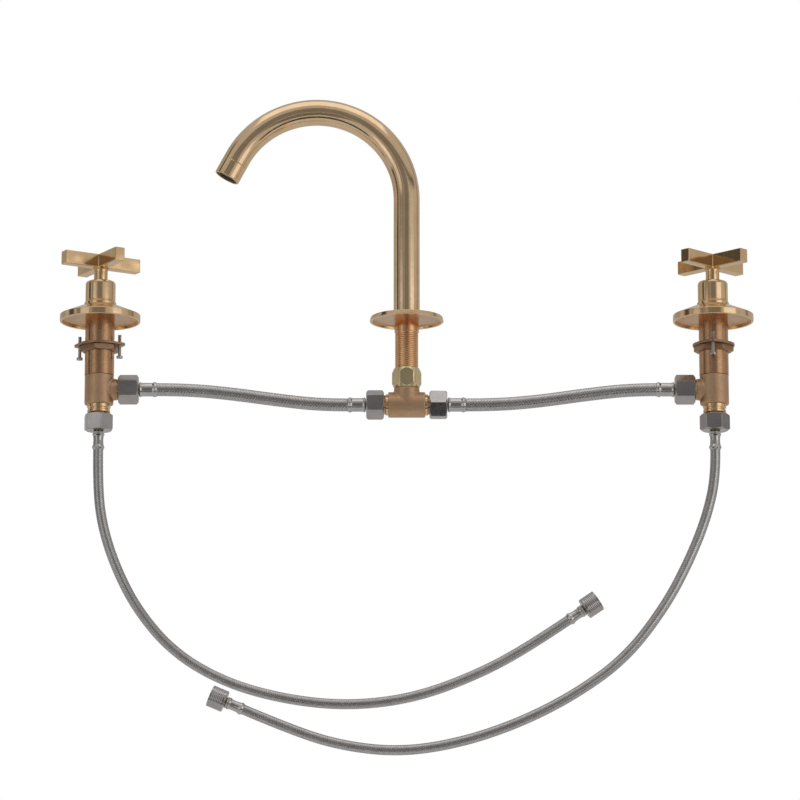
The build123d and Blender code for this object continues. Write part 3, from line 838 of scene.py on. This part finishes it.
def braided_hose(name, radius, body, replaced):
    """Hose in a two-over-two braid of flat wire strands, over a dark inner tube."""
    each_way = 12
    steps_per_weave = 6.8
    lay = math.radians(50)
    line = HoseLine(route_points(name))
    turn_rate = math.tan(lay) / radius
    strand_half = 0.46 * (FULL_TURN * radius / each_way) * math.cos(lay)
    wave = 0.06
    step = FULL_TURN / (turn_rate * each_way / 2) / steps_per_weave
    distance = np.arange(0, line.length, step)
    across = np.linspace(-1, 1, 5)
    points, faces, across_value, tone, local = [], [], [], [], []
    generator = np.random.default_rng(7)
    start = 0
    for way in (1, -1):
        for strand in range(each_way):
            swing = each_way * turn_rate * distance / 2
            weave = np.cos(swing + math.pi * strand - math.pi / 4) if way > 0 else \
                -np.cos(math.pi * strand - swing - math.pi / 4)
            lift = wave * np.clip(1.6 * weave, -1, 1)
            offset = strand_half * across[None, :]
            d = distance[:, None] - way * math.sin(lay) * offset
            angle = FULL_TURN * strand / each_way + way * turn_rate * distance[:, None]
            angle = angle + offset * math.cos(lay) / radius
            r = radius - wave - 0.03 + lift[:, None] - 0.04 * across[None, :] ** 2
            d = np.clip(d, 0, line.length)
            spots = line.at(d, angle, r)
            strand_points, strand_faces = grid(spots, False, False)
            points.append(strand_points)
            faces.append(strand_faces + start)
            start += len(strand_points)
            across_value.append(np.broadcast_to(across[None, :], d.shape).ravel())
            tone.append(np.full(d.size, generator.uniform(0.0, 0.4)))
            local.append(np.stack([radius * angle, r + 0 * d, d], -1).reshape(-1, 3))
    strand_count = start
    core_distance = np.linspace(0, line.length, int(line.length / 3))
    core_angle = np.linspace(0, FULL_TURN, 24, endpoint=False)
    d, a = np.meshgrid(core_distance, core_angle, indexing="ij")
    core_points, core_faces = grid(line.at(d, a, np.full(d.shape, radius - 0.42)), False, True)
    points.append(core_points)
    faces.append(core_faces + start)
    across_value.append(np.zeros(len(core_points)))
    tone.append(np.zeros(len(core_points)))
    local.append(core_points)
    mesh = bpy.data.meshes.new(name + "_hose")
    all_points = np.concatenate(points) * MM
    all_faces = np.concatenate(faces)
    mesh.from_pydata(all_points.tolist(), [], all_faces.tolist())
    for key, kind, values in (("across", "FLOAT", across_value), ("tone", "FLOAT", tone),
                              ("local", "FLOAT_VECTOR", local)):
        attribute = mesh.attributes.new(key, kind, "POINT")
        field = "vector" if kind == "FLOAT_VECTOR" else "value"
        attribute.data.foreach_set(field, np.concatenate(values).astype(np.float32).ravel())
    mesh.materials.append(finish("steel_braid"))
    mesh.materials.append(finish("dark_core"))
    index = np.zeros(len(all_faces), np.int32)
    index[all_faces[:, 0] >= strand_count] = 1
    mesh.polygons.foreach_set("material_index", index)
    mesh.polygons.foreach_set("use_smooth", np.ones(len(all_faces), bool))
    obj = bpy.data.objects.new(name + "_hose_braid", mesh)
    bpy.context.scene.collection.objects.link(obj)
    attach(obj, body)
    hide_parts(*replaced)
    return obj, line


def end_places(name, back, x_axis):
    """Frames of a hose's two ends, +Z along the hose and the origin on the sealing face."""
    route = [Vector(point) for point in ROUTES[name]]
    first = (route[1] - route[0]).normalized()
    last = (route[-2] - route[-1]).normalized()
    return (axes(route[0] - first * back, first, x_axis), axes(route[-1] - last * back, last, x_axis))


# ---- the whole mixer -------------------------------------------------------------------
def build_spout():
    add_piece("spout_tube_bent", [(spout_tube(), None)], "spout", "polished_brass", ["spout_tube"],
              look="drawn_brass")
    add_piece("outlet_collar_turned", [(outlet_collar(), OUTLET_PLACE)], "spout", "polished_brass",
              ["outlet_collar"])
    add_piece("spout_escutcheon_turned", [(spout_escutcheon(), None)], "deck_set", "polished_brass",
              ["spout_escutcheon"],
              under=("plate_back", lambda c, n: n.z < -0.3 and math.hypot(c.x, c.y) < 28.6))
    add_piece("spout_shank_threaded", [(spout_shank(), None)], "deck_set", "raw_brass", ["spout_shank"])
    add_piece("coupling_nut_crowned", [(coupling_nut(), None)], "deck_set", "pale_brass", ["coupling_nut"])
    add_piece("tee_casting", tee_parts(), "deck_set", "cast_brass", ["tee_body"],
              under=("polished_brass", lambda c, n: c.z > 14.2))


def build_valve(name, valve):
    joint = next(j for j in frame["joints"] if j["name"] == name + "_turn")
    place = shift(joint["pos_m"][0] / MM, 0, 0)
    facing = place @ about("Z", 0 if valve["side"] < 0 else 180)
    add_piece(name + "_casting", casting_parts(facing), "deck_set", "cast_brass", [name + "_valve_casting"],
              under=("polished_brass", lambda c, n: c.z < -71.6 or c.z > 0))
    add_piece(name + "_barrel_threaded", [(valve_barrel(), place)], "deck_set", "raw_brass",
              [name + "_valve_barrel"], look="barrel_brass")
    add_piece(name + "_escutcheon_turned", [(valve_escutcheon(), place)], "deck_set", "polished_brass",
              [name + "_escutcheon"], under=("plate_back", lambda c, n: n.z < -0.3 and c.z > 0.4))
    add_piece(name + "_bonnet_turned", [(valve_bonnet(), place)], "deck_set", "polished_brass",
              [name + "_bonnet"])
    # At no turn the arms point to the corners.
    add_piece(name + "_handle_cross", [(cross_handle(), place @ about("Z", valve["handle"] + 45))],
              name + "_handle", "polished_brass", [name + "_cross_handle"], look="handle_brass")
    backnut = place @ about("Z", valve["backnut"])
    add_piece(name + "_backnut_lugged", [(lugged_backnut(), backnut)], "deck_set", "dull_brass",
              [name + "_lugged_backnut"])
    screws = [(jack_screw(), backnut @ shift(x, 0, 0)) for x in (-LUG_CENTRE, LUG_CENTRE)]
    add_piece(name + "_jack_screws_slotted", screws, "deck_set", "zinc_screw", [name + "_jack_screws"])


def build_hoses(name, valve):
    link_valve, link_tee = end_places(name + "_link", LINK_FERRULE_END, (0, 1, 0))
    supply_valve, supply_end = end_places(name + "_supply", SUPPLY_FERRULE_END, (1, 0, 0))
    add_piece(name + "_outlet_nut_hex", [(hose_nut(12.0, valve["outlet"]), link_valve)], "deck_set",
              "nickel_plate", [name + "_outlet_nut"])
    add_piece(name + "_inlet_nut_hex", [(hose_nut(9.0, valve["inlet"]), supply_valve)], "deck_set",
              "nickel_plate", [name + "_inlet_nut"])
    sleeve = link_ferrule(LINK_RADIUS + 0.2, FERRULE_START, LINK_FERRULE_END)
    link_sleeves = add_piece(name + "_link_ferrules_crimped", [(sleeve, link_valve), (sleeve, link_tee)],
                             "deck_set", "stainless_sleeve", [name + "_link_ferrules"])
    sleeve = supply_ferrule(SUPPLY_RADIUS + 0.2, FERRULE_START, SUPPLY_FERRULE_END)
    supply_sleeves = add_piece(name + "_supply_ferrules_crimped",
                               [(sleeve, supply_valve), (sleeve, supply_end)],
                               "deck_set", "stainless_sleeve", [name + "_supply_ferrules"])
    round_nut = add_piece(name + "_free_nut_ringed", [(free_nut(), supply_end)], name + "_inlet",
                          "nickel_plate", [name + "_free_nut"])
    link, link_line = braided_hose(name + "_link", LINK_RADIUS, "deck_set", [name + "_link_hose"])
    supply, supply_line = braided_hose(name + "_supply", SUPPLY_RADIUS, "deck_set", [name + "_supply_hose"])
    return link_tee


def build_tee_nuts(places):
    parts = [(hose_nut(9.8, VALVES[name]["tee"]), place) for name, place in places.items()]
    add_piece("tee_nuts_hex", parts, "deck_set", "nickel_plate", ["tee_nuts"])


def finish_cad_nodes():
    """Materials for the CAD nodes that stay: inner pieces, washers, screws and the aerator."""
    kinds = {
        "aerator_screen": "dark_plastic", "aerator_housing": "dark_plastic", "aerator_washer": "black_rubber",
        "spout_set_screw": "zinc_screw", "handle_set_screw": "zinc_screw", "spout_o_rings": "black_rubber",
        "spindle_o_rings": "black_rubber", "disc_seal": "black_rubber", "coupling_washer": "black_rubber",
        "hose_washers": "black_rubber", "spout_glide_ring": "dark_plastic", "cartridge_body": "pale_brass",
        "spindle": "pale_brass", "moving_disc": "white_ceramic", "fixed_disc": "white_ceramic",
        "link_hose_tails": "pale_brass", "supply_hose_tails": "pale_brass",
    }
    for node, obj in frame["nodes"].items():
        if obj.hide_render:
            continue
        kind = kinds.get(node) or kinds[node.split("_", 1)[1]]
        obj.data.materials.clear()
        obj.data.materials.append(finish(kind, local=False))


build_spout()
tee_places = {}
for valve_name, valve_turns in VALVES.items():
    build_valve(valve_name, valve_turns)
    tee_places[valve_name] = build_hoses(valve_name, valve_turns)
build_tee_nuts(tee_places)
finish_cad_nodes()


# ---- floor, light and camera -------------------------------------------------------------
def add_floor():
    height = -0.95
    size = 8.0
    mesh = bpy.data.meshes.new("floor")
    corners = [(-size, -size, height), (size, -size, height), (size, size, height), (-size, size, height)]
    mesh.from_pydata(corners, [], [(0, 1, 2, 3)])
    floor = bpy.data.objects.new("floor", mesh)
    bpy.context.scene.collection.objects.link(floor)
    material = bpy.data.materials.new("pale_floor")
    material.use_nodes = True
    shader = material.node_tree.nodes["Principled BSDF"]
    shader.inputs["Base Color"].default_value = (0.86, 0.86, 0.86, 1)
    shader.inputs["Roughness"].default_value = 0.9
    shader.inputs["Emission Color"].default_value = (1, 1, 1, 1)
    shader.inputs["Emission Strength"].default_value = 0.10
    mesh.materials.append(material)


def add_flag(name, shade, half_width, near, far):
    """Dark card in front of the mixer that shows in reflections only. near and far are the
    (y, z) of its two long edges."""
    corners = [(-half_width, *near), (half_width, *near), (half_width, *far), (-half_width, *far)]
    mesh = bpy.data.meshes.new(name)
    mesh.from_pydata(corners, [], [(0, 1, 2, 3)])
    flag = bpy.data.objects.new(name, mesh)
    bpy.context.scene.collection.objects.link(flag)
    material = bpy.data.materials.new(name)
    material.use_nodes = True
    shader = material.node_tree.nodes["Principled BSDF"]
    shader.inputs["Base Color"].default_value = (shade, shade, shade, 1)
    shader.inputs["Roughness"].default_value = 0.9
    mesh.materials.append(material)
    flag.visible_camera = False
    flag.visible_diffuse = False
    flag.visible_shadow = False


def add_softbox(name, azimuth, elevation, distance, width, height, brightness):
    """Area light that faces the mixer. Azimuth 0 is in front, 90 on the right."""
    target = Vector((0, 0, -0.06))
    a, e = math.radians(azimuth), math.radians(elevation)
    away = Vector((math.sin(a) * math.cos(e), -math.cos(a) * math.cos(e), math.sin(e)))
    light = bpy.data.lights.new(name, "AREA")
    light.shape = "RECTANGLE"
    light.size = width
    light.size_y = height
    light.energy = brightness * math.pi * width * height
    obj = bpy.data.objects.new(name, light)
    obj.location = target + away * distance
    obj.rotation_mode = "QUATERNION"
    obj.rotation_quaternion = away.to_track_quat("Z", "Y")
    bpy.context.scene.collection.objects.link(obj)


def band(tree, value, low, high, soft):
    """One inside low..high degrees, nothing outside, with soft edges that many degrees wide."""
    low, high, soft = (math.radians(v) for v in (low, high, soft))
    rising = ramp(tree, value, low, low + soft)
    return maths(tree, "MULTIPLY", rising, ramp(tree, value, high - soft, high, 1.0, 0.0))


def add_world():
    """Light tent for the reflections: even walls with a dim opening in front, dim walls on the
    left, a dark seam on each side and a dark edge above. Each patch is given by its azimuth and
    elevation in degrees. The camera itself sees a plain white background."""
    world = bpy.data.worlds.new("studio")
    bpy.context.scene.world = world
    world.use_nodes = True
    tree = world.node_tree
    tree.nodes.clear()
    direction = add_node(tree, "TexCoord").outputs["Generated"]
    x, y, z = add_node(tree, "SeparateXYZ", {0: direction}).outputs
    azimuth = maths(tree, "ARCTAN2", x, maths(tree, "MULTIPLY", y, -1.0))
    elevation = maths(tree, "ARCSINE", z)

    def patch(turn, height, soft, depth):
        sideways = band(tree, azimuth, *turn, soft)
        upright = band(tree, elevation, *height, soft)
        return maths(tree, "MULTIPLY", maths(tree, "MULTIPLY", sideways, upright), depth)

    wall_level = 0.49
    dark = 0.0
    for spot in (
        ((-24, 22), (-45, 24), 7, 0.58),
        ((-86, 86), (19, 28), 4, 0.82),
        ((-99, -73), (-50, 50), 6, 0.84),
        ((100, 118), (-50, 50), 6, 0.50),
        ((-72, -20), (-50, 24), 8, 0.50),
        ((-150, -108), (-20, 45), 8, 0.22),
    ):
        dark = maths(tree, "MAXIMUM", dark, patch(*spot))
    level = maths(tree, "MULTIPLY", maths(tree, "SUBTRACT", 1.0, dark), wall_level)
    level = maths(tree, "ADD", level, patch((24, 70), (-5, 20), 12, 0.12))
    walls = add_node(tree, "Background", {"Color": (1.0, 0.985, 0.96), "Strength": level}).outputs[0]
    white = add_node(tree, "Background", {"Color": (1.0, 1.0, 1.0), "Strength": 1.0}).outputs[0]
    seen = add_node(tree, "LightPath").outputs["Is Camera Ray"]
    both = add_node(tree, "MixShader", {0: seen, 1: walls, 2: white}).outputs[0]
    add_node(tree, "OutputWorld", {"Surface": both})


def add_camera():
    """Long lens, slightly below the deck."""
    distance = 3.5
    elevation = math.radians(-12.0)
    width_at_object = 0.668
    target = Vector((-0.0056, 0, -0.0668))
    camera = bpy.data.cameras.new("camera")
    camera.sensor_width = 36.0
    camera.lens = camera.sensor_width * distance / width_at_object
    camera.clip_end = 50.0
    obj = bpy.data.objects.new("camera", camera)
    back = Vector((0, -math.cos(elevation), math.sin(elevation)))
    obj.location = target + back * distance
    obj.rotation_mode = "QUATERNION"
    obj.rotation_quaternion = back.to_track_quat("Z", "Y")
    bpy.context.scene.collection.objects.link(obj)
    bpy.context.scene.camera = obj


add_floor()
add_world()
add_flag("low_flag", 0.05, 1.4, (-1.05, -0.94), (-0.60, -0.94))
add_flag("front_flag", 0.30, 0.5, (-1.5, -0.93), (-1.5, -0.12))
add_softbox("left_softbox", -47, 1, 1.7, 0.70, 1.0, 0.42)
add_softbox("right_softbox", 50, 1, 1.7, 1.0, 1.0, 0.46)
add_softbox("top_softbox", 0, 80, 1.5, 1.6, 1.2, 0.55)
add_camera()
bpy.context.scene.view_settings.view_transform = "Standard"
